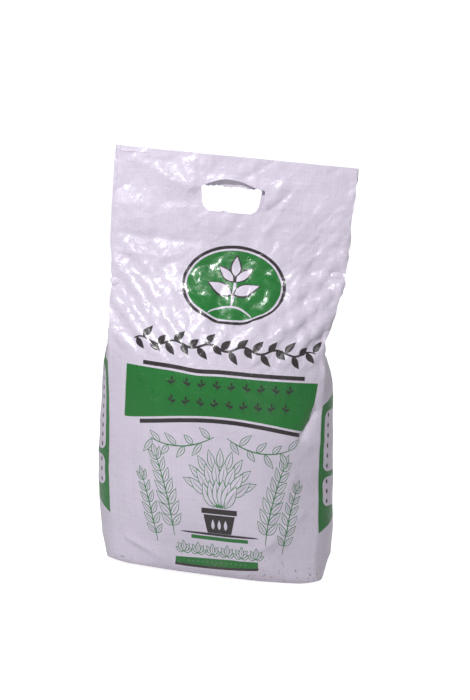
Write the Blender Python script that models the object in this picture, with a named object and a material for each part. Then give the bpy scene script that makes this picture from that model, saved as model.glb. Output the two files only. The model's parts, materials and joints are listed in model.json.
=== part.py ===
"""Compost bag: a gusseted woven sack with a die-cut carrying slot, standing on its sewn base.

Metres, +Z up, front face towards -Y, origin under the middle of the base.
The sack is sealed and full, so the sleeve and its compost are one solid. The threads that
close the base lie in a shallow groove under it, clear of the floor.
"""
import math

import bmesh
import bpy
from mathutils import Vector

# Driving sizes
HEIGHT = 0.605
FLAT_WIDTH = 0.350
BODY_WIDTH = 0.340
BODY_DEPTH = 0.190
MOUTH_THICKNESS = 0.007

# Carrying slot, die-cut through the flat top, which slumps a little to the left
SLOT_WIDTH = 0.094
SLOT_HEIGHT = 0.037
SLOT_BELOW_MOUTH = 0.044
SLOT_ACROSS = -0.008
SLOT_UPPER_RADIUS = 0.005
SLOT_LOWER_RADIUS = 0.015

# Groove under the base, with the two threads of the closing seam
GROOVE_LENGTH = 0.232
GROOVE_WIDTH = 0.008
GROOVE_DEPTH = 0.0036
THREAD_LENGTH = 0.220
THREAD_RADIUS = 0.0007
STITCH_LENGTH = 0.010
STITCH_SWAY = 0.0004
THREAD_SPACING = 0.0032

# Mesh density
RING_POINTS = 80
RING_LEVELS = 44
ARC_STEPS = 6

# Sections from the base to the mouth:
# share of the height, share of the body's width, share of its depth, squareness of the outline
SECTIONS = (
    (0.000, 0.78, 0.66, 2.6),
    (0.014, 0.86, 0.80, 2.6),
    (0.050, 0.94, 0.92, 2.6),
    (0.120, 0.985, 0.98, 2.6),
    (0.240, 1.00, 1.00, 2.5),
    (0.400, 0.985, 0.97, 2.5),
    (0.500, 0.965, 0.85, 2.4),
    (0.580, 0.945, 0.62, 2.3),
    (0.660, 0.960, 0.36, 2.2),
    (0.740, 0.985, 0.16, 2.1),
    (0.810, 1.005, 0.055, 2.1),
    (0.870, 1.015, MOUTH_THICKNESS / BODY_DEPTH, 2.1),
    (1.000, FLAT_WIDTH / BODY_WIDTH, MOUTH_THICKNESS / BODY_DEPTH, 2.1),
)

WOVEN_WHITE = (0.62, 0.57, 0.69)
THREAD_WHITE = (0.80, 0.78, 0.76)


def clear_scene():
    for item in list(bpy.data.objects):
        bpy.data.objects.remove(item, do_unlink=True)


def new_collection(name):
    collection = bpy.data.collections.new(name)
    bpy.context.scene.collection.children.link(collection)
    return collection


def new_material(name, colour, roughness):
    material = bpy.data.materials.new(name)
    material.use_nodes = True
    shader = material.node_tree.nodes["Principled BSDF"]
    shader.inputs["Base Color"].default_value = (*colour, 1.0)
    shader.inputs["Roughness"].default_value = roughness
    shader.inputs["Metallic"].default_value = 0.0
    return material


def smooth_between(before, start, end, after, part):
    """Catmull-Rom blend from start to end."""
    return 0.5 * (
        2.0 * start
        + (end - before) * part
        + (2.0 * before - 5.0 * start + 4.0 * end - after) * part ** 2
        + (3.0 * start - before - 3.0 * end + after) * part ** 3
    )


def section_at(share):
    """Half width, half depth and squareness of the bag at a share of its height."""
    last = len(SECTIONS) - 1
    index = next(i for i in range(last) if share <= SECTIONS[i + 1][0] or i == last - 1)
    low, high = SECTIONS[index], SECTIONS[index + 1]
    below, above = SECTIONS[max(index - 1, 0)], SECTIONS[min(index + 2, last)]
    part = (share - low[0]) / (high[0] - low[0])
    width, depth, squareness = (
        smooth_between(below[k], low[k], high[k], above[k], part) for k in (1, 2, 3)
    )
    depth = max(depth, MOUTH_THICKNESS / BODY_DEPTH)
    return 0.5 * BODY_WIDTH * width, 0.5 * BODY_DEPTH * depth, squareness


def outline(half_width, half_depth, squareness, count):
    """Superellipse with its points evenly spaced along the outline, from the +X side."""
    def point(turn):
        across, along = math.cos(turn), math.sin(turn)
        power = 2.0 / squareness
        return Vector((
            half_width * math.copysign(abs(across) ** power, across),
            half_depth * math.copysign(abs(along) ** power, along),
        ))

    fine = [point(0.5 * math.pi * (i / 400.0)) for i in range(401)]
    run = [0.0]
    for start, end in zip(fine, fine[1:]):
        run.append(run[-1] + (end - start).length)
    quarter, place = [], 0
    for step in range(count // 4):
        target = run[-1] * step / (count // 4)
        while run[place + 1] < target:
            place += 1
        part = (target - run[place]) / (run[place + 1] - run[place])
        quarter.append(fine[place].lerp(fine[place + 1], part))
    top = Vector((0.0, half_depth))
    right = quarter
    left = [Vector((-p.x, p.y)) for p in reversed(quarter[1:])]
    upper = right + [top] + left + [Vector((-half_width, 0.0))]
    lower = [Vector((p.x, -p.y)) for p in reversed(upper[1:-1])]
    return upper + lower


def level_shares():
    """Heights of the rings, closer together where the base turns under."""
    return [(i / RING_LEVELS) ** 1.15 for i in range(RING_LEVELS + 1)]


def loft_bag(collection, material):
    """Sleeve and contents: one loft from the flat base to the pressed-flat mouth."""
    mesh = bpy.data.meshes.new("bag")
    body = bmesh.new()
    rings = []
    for share in level_shares():
        half_width, half_depth, squareness = section_at(share)
        points = outline(half_width, half_depth, squareness, RING_POINTS)
        rings.append([body.verts.new((p.x, p.y, share * HEIGHT)) for p in points])
    for lower, upper in zip(rings, rings[1:]):
        for i in range(RING_POINTS):
            j = (i + 1) % RING_POINTS
            body.faces.new((lower[i], lower[j], upper[j], upper[i]))
    body.faces.new(list(reversed(rings[0])))
    body.faces.new(rings[-1])
    bmesh.ops.recalc_face_normals(body, faces=body.faces[:])
    body.to_mesh(mesh)
    body.free()
    mesh.polygons.foreach_set("use_smooth", [len(p.vertices) == 4 for p in mesh.polygons])
    bag = bpy.data.objects.new("bag", mesh)
    bag.data.materials.append(material)
    collection.objects.link(bag)
    return bag


def rounded_corner(centre, radius, start_angle):
    return [
        Vector((
            centre[0] + radius * math.cos(start_angle + 0.5 * math.pi * i / ARC_STEPS),
            centre[1] + radius * math.sin(start_angle + 0.5 * math.pi * i / ARC_STEPS),
        ))
        for i in range(ARC_STEPS + 1)
    ]


def slot_outline():
    """Nearly square upper corners under the fold line, rounder lower corners."""
    left, right = SLOT_ACROSS - 0.5 * SLOT_WIDTH, SLOT_ACROSS + 0.5 * SLOT_WIDTH
    top = HEIGHT - SLOT_BELOW_MOUTH
    bottom = top - SLOT_HEIGHT
    high, low = SLOT_UPPER_RADIUS, SLOT_LOWER_RADIUS
    return (
        rounded_corner((right - high, top - high), high, 0.0)
        + rounded_corner((left + high, top - high), high, 0.5 * math.pi)
        + rounded_corner((left + low, bottom + low), low, math.pi)
        + rounded_corner((right - low, bottom + low), low, 1.5 * math.pi)
    )


def slot_cutter(collection):
    """The slot's outline as a filled curve across the fin, turned into a closed mesh."""
    curve = bpy.data.curves.new("slot_outline", "CURVE")
    curve.dimensions = "2D"
    curve.fill_mode = "BOTH"
    curve.extrude = 0.5 * BODY_DEPTH
    points = slot_outline()
    spline = curve.splines.new("POLY")
    spline.points.add(len(points) - 1)
    for target, point in zip(spline.points, points):
        target.co = (point.x, point.y, 0.0, 1.0)
    spline.use_cyclic_u = True
    drawn = bpy.data.objects.new("slot_outline", curve)
    drawn.rotation_euler = (0.5 * math.pi, 0.0, 0.0)
    collection.objects.link(drawn)
    return curve_to_mesh(drawn, "slot_cutter", collection)


def curve_to_mesh(drawn, name, collection):
    """Swap a curve object for a welded mesh object in the same place."""
    bpy.context.view_layer.update()
    evaluated = drawn.evaluated_get(bpy.context.evaluated_depsgraph_get())
    mesh = bpy.data.meshes.new_from_object(evaluated)
    welded = bmesh.new()
    welded.from_mesh(mesh)
    bmesh.ops.remove_doubles(welded, verts=welded.verts[:], dist=0.00002)
    bmesh.ops.recalc_face_normals(welded, faces=welded.faces[:])
    welded.to_mesh(mesh)
    welded.free()
    solid = bpy.data.objects.new(name, mesh)
    solid.matrix_world = drawn.matrix_world.copy()
    collection.objects.link(solid)
    bpy.data.objects.remove(drawn, do_unlink=True)
    return solid


def groove_cutter(collection):
    bpy.ops.mesh.primitive_cube_add(size=1.0, location=(0.0, 0.0, 0.0))
    cutter = bpy.context.object
    cutter.name = "groove_cutter"
    cutter.scale = (GROOVE_LENGTH, GROOVE_WIDTH, 2.0 * GROOVE_DEPTH)
    for owner in list(cutter.users_collection):
        owner.objects.unlink(cutter)
    collection.objects.link(cutter)
    return cutter


def cut(target, cutter):
    cutter.hide_render = True
    cutter.display_type = "WIRE"
    modifier = target.modifiers.new(cutter.name, "BOOLEAN")
    modifier.operation = "DIFFERENCE"
    modifier.solver = "EXACT"
    modifier.object = cutter


def seam_thread(name, across, sway, collection, material):
    """One thread of the chain stitch, swaying a little from stitch to stitch."""
    curve = bpy.data.curves.new(name, "CURVE")
    curve.dimensions = "3D"
    curve.bevel_depth = THREAD_RADIUS
    curve.bevel_resolution = 2
    curve.use_fill_caps = True
    stitches = round(THREAD_LENGTH / STITCH_LENGTH)
    steps = stitches * 2
    spline = curve.splines.new("POLY")
    spline.points.add(steps)
    for i, point in enumerate(spline.points):
        along = THREAD_LENGTH * (i / steps - 0.5)
        side = sway if i % 2 else -sway
        point.co = (along, across + side, 0.5 * GROOVE_DEPTH, 1.0)
    drawn = bpy.data.objects.new(name + "_route", curve)
    collection.objects.link(drawn)
    thread = curve_to_mesh(drawn, name, collection)
    thread.data.polygons.foreach_set("use_smooth", [True] * len(thread.data.polygons))
    thread.data.materials.clear()
    thread.data.materials.append(material)
    return thread


def build():
    clear_scene()
    parts = new_collection("compost_bag")
    cutters = new_collection("cutters")
    bag = loft_bag(parts, new_material("woven_film", WOVEN_WHITE, 0.38))
    cut(bag, slot_cutter(cutters))
    cut(bag, groove_cutter(cutters))
    offset = 0.5 * THREAD_SPACING
    seam_thread("needle_thread", -offset, STITCH_SWAY, parts,
                new_material("needle_cotton", THREAD_WHITE, 0.85))
    seam_thread("looper_thread", offset, -STITCH_SWAY, parts,
                new_material("looper_cotton", THREAD_WHITE, 0.9))


build()
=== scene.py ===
"""Looks of the compost bag: a laminated woven sack, relaxed as cloth and printed in its own mesh.

The fabric is one tube. It is drawn in the flat pattern: u runs round the tube and v down it from
the mouth, both in metres. grid_shape() folds that pattern into the standing bag, relax() lets the
empty upper part crumple as cloth, and build_sleeve() cuts the carrying slot and the print into it.
"""
import json
import math

import bmesh
import bpy
import numpy as np
from mathutils import Matrix, Vector
from mathutils.geometry import delaunay_2d_cdt
from mathutils.kdtree import KDTree


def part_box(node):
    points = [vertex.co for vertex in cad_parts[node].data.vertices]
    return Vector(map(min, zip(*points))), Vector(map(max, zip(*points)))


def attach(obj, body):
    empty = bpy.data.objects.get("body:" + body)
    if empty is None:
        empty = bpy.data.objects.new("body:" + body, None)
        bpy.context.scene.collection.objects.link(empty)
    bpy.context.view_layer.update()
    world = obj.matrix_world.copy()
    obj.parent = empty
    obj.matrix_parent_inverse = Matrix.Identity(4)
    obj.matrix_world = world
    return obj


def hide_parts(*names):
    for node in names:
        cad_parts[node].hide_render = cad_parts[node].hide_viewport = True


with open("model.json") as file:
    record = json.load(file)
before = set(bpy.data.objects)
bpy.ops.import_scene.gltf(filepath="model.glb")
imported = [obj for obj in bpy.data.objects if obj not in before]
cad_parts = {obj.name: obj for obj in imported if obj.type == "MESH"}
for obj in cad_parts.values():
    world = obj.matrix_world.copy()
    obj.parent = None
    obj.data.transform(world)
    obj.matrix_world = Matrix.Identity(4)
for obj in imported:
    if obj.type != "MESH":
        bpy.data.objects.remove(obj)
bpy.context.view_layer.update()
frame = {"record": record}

# The bag's box, from the frame
LOW, HIGH = (np.array(corner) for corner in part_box("bag"))
HEIGHT = HIGH[2] - LOW[2]
HALF_FLAT = 0.5 * (HIGH[0] - LOW[0])
HALF_DEPTH = 0.5 * (HIGH[1] - LOW[1])
SLOT = next(o for o in frame["record"]["physics"]["openings"] if o["name"] == "carrying_slot")
SLOT_LOW, SLOT_HIGH = (np.array(corner) for corner in SLOT["box_m"])
SLOT_TOP = SLOT_HIGH[2] + 0.0005
SLOT_WIDTH = SLOT_HIGH[0] - SLOT_LOW[0] + 0.008
SLOT_HEIGHT = SLOT_TOP - SLOT_LOW[2] + 0.0052

# The flat pattern
PANEL = 2.0 * HALF_FLAT
GUSSET_HALF = 0.048
GUSSET = 2.0 * GUSSET_HALF
GIRTH = 2.0 * (PANEL + GUSSET)
LEFT_FOLD, RIGHT_FOLD = GUSSET, GUSSET + PANEL
BACK_FOLD = RIGHT_FOLD + GUSSET
FRONT_MIDDLE = LEFT_FOLD + HALF_FLAT
BACK_MIDDLE = BACK_FOLD + HALF_FLAT
FABRIC = 0.0004

# Cloth grid: about 5 mm cells
PANEL_CELLS = 70
GUSSET_CELLS = 10
COLUMNS = 2 * (PANEL_CELLS + 2 * GUSSET_CELLS)
ROW_STEP = 0.005
ROUND_START = 0.040
# How the front is crowned and how far the gussets bulge
FRONT_CROWN = 2.4
GUSSET_BULGE = 1.2

# Surface grid: about 3 mm cells
FINE_PANEL = 112
FINE_GUSSET = 15
FINE_ROW = 0.0031

# Sections by height, as shares of the height, the flat half width and the half depth:
# height, fold line across, fold line forward, front middle forward, gusset middle across
SECTIONS = np.array((
    (1.000, 0.983, 0.020, 0.036, 0.712),
    (0.900, 0.980, 0.022, 0.040, 0.708),
    (0.800, 0.975, 0.028, 0.056, 0.704),
    (0.735, 0.964, 0.075, 0.140, 0.696),
    (0.670, 0.940, 0.190, 0.360, 0.692),
    (0.620, 0.922, 0.315, 0.570, 0.715),
    (0.580, 0.906, 0.420, 0.720, 0.790),
    (0.545, 0.897, 0.475, 0.810, 0.905),
    (0.496, 0.888, 0.500, 0.895, 0.955),
    (0.397, 0.870, 0.505, 0.970, 0.974),
    (0.248, 0.862, 0.520, 1.000, 0.993),
    (0.149, 0.862, 0.570, 0.985, 0.994),
    (0.060, 0.838, 0.600, 0.905, 0.970),
))
# How far the bag slumps sideways, by share of the height
LEAN = np.array(((0.0, 0.0135), (0.08, 0.0105), (0.165, 0.0055), (0.33, -0.0015), (0.50, -0.0080),
                 (0.58, -0.0100), (0.70, -0.0065), (1.0, -0.0055)))
SLOT_MIDDLE = 0.5 * (SLOT_LOW[0] + SLOT_HIGH[0]) - LEAN[-1][1]
ROW_TILT = 0.018
# The right side is pinched in where the empty top folds over the contents
WAIST, WAIST_PINCH = 0.585, 0.009
# The base's front edge stands off the floor towards the left
BASE_LIFT = 0.0065

# The seam under the base: flat in the middle, its ends turned up the sides
SEAM_FLAT = 0.108
SEAM_RADIUS = 0.055
SEAM_LIFT = 0.0037
SEAM_BACK = -0.008
SEAM_GAP = 0.0009
HEM_WIDTH = 0.020
HEM_ROWS = 4
CLEARANCE = 0.0004

# How the fabric turns under the base: how far it drops first, as a share of its reach in the
# middle and of its height at the sides, and how far it then runs level
DROP_MIDDLE, DROP_SIDE, DROP_REACH = 0.52, 1.15, 0.105
RUN_LEVEL = 0.75


def through(table, column, at):
    """Smooth monotone curve through one column of a table whose first column falls or rises."""
    x, y = table[:, 0], table[:, column]
    if x[0] > x[-1]:
        x, y = x[::-1], y[::-1]
    step = np.diff(x)
    slope = np.diff(y) / step
    tangent = np.concatenate(([slope[0]], 0.5 * (slope[1:] + slope[:-1]), [slope[-1]]))
    flat = slope[1:] * slope[:-1] <= 0.0
    tangent[1:-1][flat] = 0.0
    limit = 3.0 * np.minimum(
        np.abs(np.concatenate(([slope[0]], slope))), np.abs(np.concatenate((slope, [slope[-1]])))
    )
    tangent = np.clip(tangent, -limit, limit)
    at = np.clip(at, x[0], x[-1])
    i = np.clip(np.searchsorted(x, at) - 1, 0, len(step) - 1)
    t = (at - x[i]) / step[i]
    return (
        (1 + 2 * t) * (1 - t) ** 2 * y[i] + t * (1 - t) ** 2 * step[i] * tangent[i]
        + t * t * (3 - 2 * t) * y[i + 1] + t * t * (t - 1) * step[i] * tangent[i + 1]
    )


def smooth_step(low, high, value):
    t = np.clip((value - low) / (high - low), 0.0, 1.0)
    return t * t * (3.0 - 2.0 * t)


def spaced(points, count):
    """count + 1 points evenly spaced along a polyline."""
    run = np.concatenate(([0.0], np.cumsum(np.linalg.norm(np.diff(points, axis=0), axis=1))))
    at = np.linspace(0.0, run[-1], count + 1)
    return np.stack([np.interp(at, run, points[:, k]) for k in range(points.shape[1])], axis=1)


def half_ring(height, side):
    """Half a cross-section, from the front's middle round one gusset to the back's middle."""
    share = height / HEIGHT
    fold_x, gusset_x = (HALF_FLAT * through(SECTIONS, k, share) for k in (1, 4))
    fold_y, middle_y = (HALF_DEPTH * through(SECTIONS, k, share) for k in (2, 3))
    t = np.linspace(0.0, 1.0, 90)
    front = np.stack((t * fold_x, -(fold_y + (middle_y - fold_y) * (1.0 - t ** FRONT_CROWN))), axis=1)
    bulge = 1.0 + GUSSET_BULGE * smooth_step(fold_x - 0.006, fold_x + 0.010, gusset_x)
    s = np.linspace(1.0, 0.0, 40)
    gusset = np.stack((fold_x + (gusset_x - fold_x) * (1.0 - s ** bulge), -fold_y * s), axis=1)
    front = spaced(front, PANEL_CELLS // 2)
    gusset = spaced(gusset, GUSSET_CELLS)
    half = np.concatenate((front, gusset[1:]))
    back = half[-2::-1] * (1.0, -1.0)
    return np.concatenate((half, back)) * (side, 1.0)


def ring(height):
    """The whole cross-section, starting at the left back fold, as the pattern does."""
    right = half_ring(height, 1.0)
    left = half_ring(height, -1.0)
    middle = PANEL_CELLS // 2
    turn = middle + 2 * GUSSET_CELLS + 1
    return np.concatenate((left[:turn][::-1], right[1:], left[turn:-1][::-1]))


def seam_path(across):
    """Where the closing seam lies, by the distance from its middle, and how far it has turned up."""
    turn = np.clip((np.abs(across) - SEAM_FLAT) / SEAM_RADIUS, 0.0, None)
    x = np.minimum(np.abs(across), SEAM_FLAT) + SEAM_RADIUS * np.sin(turn)
    z = SEAM_LIFT + SEAM_RADIUS * (1.0 - np.cos(turn))
    return np.sign(across) * x, z, turn


def seam_side(u):
    """Distance along the seam from its middle, and the layer: -1 front, 1 back, less in a fold."""
    if u < LEFT_FOLD:
        inward = GUSSET_HALF - abs(u - GUSSET_HALF)
        return -(HALF_FLAT - 0.4 * inward), math.copysign(0.4, GUSSET_HALF - u)
    if u <= RIGHT_FOLD:
        return u - FRONT_MIDDLE, -1.0
    if u < BACK_FOLD:
        inward = GUSSET_HALF - abs(u - RIGHT_FOLD - GUSSET_HALF)
        return HALF_FLAT - 0.4 * inward, math.copysign(0.4, u - RIGHT_FOLD - GUSSET_HALF)
    return BACK_MIDDLE - u, 1.0


def seam_rows():
    """The tube pressed flat along the seam, then its hem turned back against the base."""
    sides = np.array([seam_side(column_u(i)) for i in range(COLUMNS)])
    across, layer = sides[:, 0], sides[:, 1]
    x, z, turn = seam_path(across)
    out_x, out_z = np.sign(across) * np.sin(turn), -np.cos(turn)
    rows = [np.column_stack((x, SEAM_BACK + SEAM_GAP * layer, z))]
    for i in range(1, HEM_ROWS + 1):
        along = SEAM_BACK + HEM_WIDTH * i / HEM_ROWS
        lift = -SEAM_GAP * layer
        rows.append(np.column_stack((
            x + lift * out_x, np.full(COLUMNS, along), z + lift * out_z,
        )))
    return rows


def column_u(i):
    """u of a cloth column."""
    gusset = 2 * GUSSET_CELLS
    stops = (0, gusset, gusset + PANEL_CELLS, 2 * gusset + PANEL_CELLS, COLUMNS)
    return float(np.interp(i, stops, (0.0, LEFT_FOLD, RIGHT_FOLD, BACK_FOLD, GIRTH)))


def grid_shape():
    """The standing bag before it crumples: rows of points, and each row's v."""
    heights = np.linspace(HEIGHT, ROUND_START, 400)
    line = np.stack((-HALF_DEPTH * through(SECTIONS, 3, heights / HEIGHT), heights), axis=1)
    run = np.concatenate(([0.0], np.cumsum(np.linalg.norm(np.diff(line, axis=0), axis=1))))
    count = round(run[-1] / ROW_STEP)
    row_v = np.linspace(0.0, run[-1], count + 1)
    row_z = np.interp(row_v, run, heights)
    rows = []
    for z in row_z:
        flat = ring(z)
        rows.append(np.column_stack((flat, np.full(len(flat), z))))
    top, (seam, *hem) = rows[-1], seam_rows()
    reach = np.linalg.norm(seam - top, axis=1)
    low = smooth_step(0.012, 0.045, np.abs(top[:, 1]))
    drop = DROP_MIDDLE * np.minimum(reach, DROP_REACH) * (1.0 - low) + DROP_SIDE * top[:, 2] * low
    first = top - np.outer(drop, (0.0, 0.0, 1.0))
    last = seam + np.column_stack((np.zeros(COLUMNS), RUN_LEVEL * top[:, 1], -low * seam[:, 2]))
    fine = np.linspace(0.0, 1.0, 60)[:, None, None]
    curve = ((1 - fine) ** 3 * top + 3 * (1 - fine) ** 2 * fine * first
             + 3 * (1 - fine) * fine ** 2 * last + fine ** 3 * seam)
    curve[..., 2] -= SEAM_LIFT * smooth_step(0.03, 0.0, curve[..., 2])
    near_seam = smooth_step(0.024, 0.009, np.abs(curve[..., 1] - SEAM_BACK))
    curve[..., 2] = np.maximum(curve[..., 2], CLEARANCE + SEAM_LIFT * near_seam)
    curve[-1] = seam
    middle = round(FRONT_MIDDLE / GIRTH * COLUMNS)
    length = np.linalg.norm(np.diff(curve[:, middle], axis=0), axis=1).sum()
    count = round(length / ROW_STEP)
    under = np.stack([spaced(curve[:, c], count) for c in range(COLUMNS)], axis=1)[1:]
    below = length * np.arange(1, count + 1) / count
    turned = HEM_WIDTH * np.arange(1, HEM_ROWS + 1) / HEM_ROWS
    row_v = np.concatenate((row_v, row_v[-1] + below, row_v[-1] + length + turned))
    return np.concatenate((np.array(rows), under, np.array(hem))), row_v


def slump(points):
    """Lean the bag sideways with its height, and let its right side hang lower."""
    share = points[..., 2] / HEIGHT
    raised = smooth_step(0.02, 0.3, share)
    points[..., 2] -= ROW_TILT * raised * (points[..., 0] + HALF_FLAT) * 0.5
    points[..., 0] += through(LEAN, 1, share)
    left = smooth_step(HALF_FLAT, -0.6 * HALF_FLAT, points[..., 0])
    forward = smooth_step(-0.015, -0.060, points[..., 1])
    points[..., 2] += BASE_LIFT * left * forward * smooth_step(0.16, 0.02, share)
    right = smooth_step(0.5 * HALF_FLAT, HALF_FLAT, points[..., 0])
    waist = np.exp(-((share - WAIST) / 0.055) ** 2)
    points[..., 0] -= WAIST_PINCH * right * waist
    return points


# Noise and folds over the pattern

def noise(u, v, cell, seed):
    """Smooth lattice noise from -1 to 1 that closes round the tube."""
    around = max(3, round(GIRTH / cell))
    table = np.random.default_rng(seed).uniform(-1.0, 1.0, (256, around))
    x, y = u / GIRTH * around, v / cell
    ix, iy = np.floor(x).astype(int), np.floor(y).astype(int)
    fx, fy = x - ix, y - iy
    fx, fy = fx * fx * (3.0 - 2.0 * fx), fy * fy * (3.0 - 2.0 * fy)
    low = table[iy % 256, ix % around] * (1 - fx) + table[iy % 256, (ix + 1) % around] * fx
    iy = iy + 1
    high = table[iy % 256, ix % around] * (1 - fx) + table[iy % 256, (ix + 1) % around] * fx
    return low * (1 - fy) + high * fy


def unit_normals(points):
    """Outward normals of a grid of points that closes round its columns."""
    across = np.roll(points, -1, axis=1) - np.roll(points, 1, axis=1)
    down = np.gradient(points, axis=0)
    normal = np.cross(down, across)
    return normal / np.maximum(np.linalg.norm(normal, axis=2, keepdims=True), 1e-12)


# Cloth

SEED = 11
STEPS = 900
DAMPING = 0.93
RELAXATION = 0.42
SLACK_DOWN = 0.35
SLACK_ROUND = 0.30
SLACK_SKEW = 0.30
SPARE = 1.002
LAYER_GAP = 0.0018
# How far down the mouth-end rows crumple, and how far they may sink in or stand off
CRUMPLED, FREE = 0.385, 0.27
SINK, STAND_OFF = -0.007, 0.012


def rest_lengths(target, row_v):
    """Rest lengths across and down: the pattern's, easing to the filled body's own."""
    rows = len(target)
    body = smooth_step(0.30, 0.62, row_v[:rows] / row_v[-1])[:, None]
    pattern = np.diff([column_u(i) for i in range(COLUMNS + 1)])[None, :]
    own = np.linalg.norm(np.roll(target, -1, axis=1) - target, axis=2)
    slack = SLACK_ROUND * (1.0 - body)
    across = own + (pattern - own) * slack
    own_down = np.linalg.norm(np.diff(target, axis=0), axis=2)
    pattern_down = SPARE * np.diff(row_v[:rows])[:, None]
    down = own_down + (pattern_down - own_down) * SLACK_DOWN * (1.0 - body[1:])
    return across, down


def ties(target, row_v):
    """The cloth's ties: rows apart, columns apart, rest length and strength."""
    across, down = rest_lengths(target, row_v)
    square = np.hypot(across[1:], down)
    right, left = (
        own + (square - own) * SLACK_SKEW
        for own in (np.linalg.norm(np.roll(target, -side, axis=1)[1:] - target[:-1], axis=2)
                    for side in (1, -1))
    )
    two_across = across + np.roll(across, -1, axis=1)
    four_across = two_across + np.roll(two_across, -2, axis=1)
    two_down = down[1:] + down[:-1]
    four_down = two_down[2:] + two_down[:-2]
    return (
        (0, 1, across, 1.0), (1, 0, down, 1.0),
        (1, 1, right, 0.35), (1, -1, left, 0.35),
        (0, 2, two_across, 0.25), (2, 0, two_down, 0.25),
        (0, 4, four_across, 0.10), (4, 0, four_down, 0.10),
    )


FOLD_COLUMNS = (0, GUSSET_CELLS, 2 * GUSSET_CELLS, 2 * GUSSET_CELLS + PANEL_CELLS,
                3 * GUSSET_CELLS + PANEL_CELLS, 4 * GUSSET_CELLS + PANEL_CELLS)


def off_folds(columns_apart):
    """1 for each column whose tie doesn't bridge a fold, which bends freely, and 0 for the rest."""
    free = np.ones(COLUMNS)
    for fold in FOLD_COLUMNS:
        for back in range(1, columns_apart):
            free[(fold - back) % COLUMNS] = 0.0
    return free[None, :]


def pulls(shape, tie):
    """What one family of ties asks of every point."""
    rows_apart, columns_apart, rest, strength = tie
    strength = strength * off_folds(columns_apart)
    rows = len(shape) - rows_apart
    start = shape[:rows]
    end = np.roll(shape, -columns_apart, axis=1)[rows_apart:]
    gap = end - start
    length = np.maximum(np.linalg.norm(gap, axis=2), 1e-9)
    move = (0.5 * strength * (length - rest[:rows]) / length)[..., None] * gap
    total = np.zeros_like(shape)
    total[:rows] += move
    total[rows_apart:] -= np.roll(move, columns_apart, axis=1)
    return total


def keep_layers(shape, target, panel):
    """Keep the flat top's layers in order, and the filled part outside its contents."""
    flat = smooth_step(0.010, 0.004, np.abs(target[..., 1]).max(axis=1))[:, None]
    limits = {"front": (-1.0, -LAYER_GAP), "back": (LAYER_GAP, 1.0),
              "front gusset": (-0.75 * LAYER_GAP, -0.25 * LAYER_GAP),
              "back gusset": (0.25 * LAYER_GAP, 0.75 * LAYER_GAP), "gusset middle": (0.0, 0.0)}
    low, high = (np.array([limits[name][k] for name in panel[0]])[None, :] for k in (0, 1))
    folded = np.clip(shape[..., 1], low, high)
    shape[..., 1] += flat * (folded - shape[..., 1])
    return shape


def panel_names():
    """Which panel each cloth column is in; a fold belongs to the front or back."""
    names = []
    for i in range(COLUMNS):
        u = column_u(i)
        if LEFT_FOLD <= u <= RIGHT_FOLD:
            names.append("front")
        elif u >= BACK_FOLD or u == 0.0:
            names.append("back")
        else:
            forward = u - GUSSET_HALF if u < LEFT_FOLD else RIGHT_FOLD + GUSSET_HALF - u
            side = "front gusset" if forward > 0.0 else "back gusset"
            names.append(side if abs(forward) > 1e-6 else "gusset middle")
    return np.array(names)[None, :]


def relax(points, row_v):
    """Crumple the empty upper rows as cloth and lay them over the filled body."""
    rows = int(np.searchsorted(row_v, CRUMPLED))
    target = points[:rows].copy()
    shape = target.copy()
    u = np.array([column_u(i) for i in range(COLUMNS)])[None, :] + np.zeros((rows, 1))
    v = row_v[:rows, None] + np.zeros((1, COLUMNS))
    free = smooth_step(CRUMPLED, FREE, v)
    normals = unit_normals(target)
    ripple = (0.0055 * noise(u, v, 0.080, SEED) + 0.0012 * noise(u, v, 0.030, SEED + 1)) * free
    panel = panel_names()
    ripple = ripple * np.where(np.char.endswith(panel, "gusset"), 0.3, 1.0)
    shape += normals * ripple[..., None]
    families = ties(target, row_v)
    pull = (0.0006 + 0.5 * (1.0 - free) ** 3)[..., None]
    pull[:2] = 0.05
    velocity = np.zeros_like(shape)
    for _ in range(STEPS):
        start = shape
        shape = shape + DAMPING * velocity
        for tie in families:
            shape = shape + RELAXATION * pulls(shape, tie)
        shape = shape + pull * (target - shape)
        reach = ((shape - target) * normals).sum(axis=2, keepdims=True)
        shape = shape + (np.clip(reach, SINK, STAND_OFF) - reach) * normals
        shape = keep_layers(shape, target, panel)
        velocity = shape - start
    relaxed = points.copy()
    relaxed[:rows] = shape
    return relaxed


# The surface through the cloth grid

def cubic(values, at, axis, closed):
    """Catmull-Rom weights and indices along one axis."""
    count = values.shape[axis]
    i = np.floor(at).astype(int)
    t = at - i
    index = [i - 1, i, i + 1, i + 2]
    if closed:
        index = [k % count for k in index]
    else:
        index = [np.clip(k, 0, count - 1) for k in index]
    weights = (
        -0.5 * t + t ** 2 - 0.5 * t ** 3, 1.0 - 2.5 * t ** 2 + 1.5 * t ** 3,
        0.5 * t + 2.0 * t ** 2 - 1.5 * t ** 3, -0.5 * t ** 2 + 0.5 * t ** 3,
    )
    return index, weights


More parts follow.
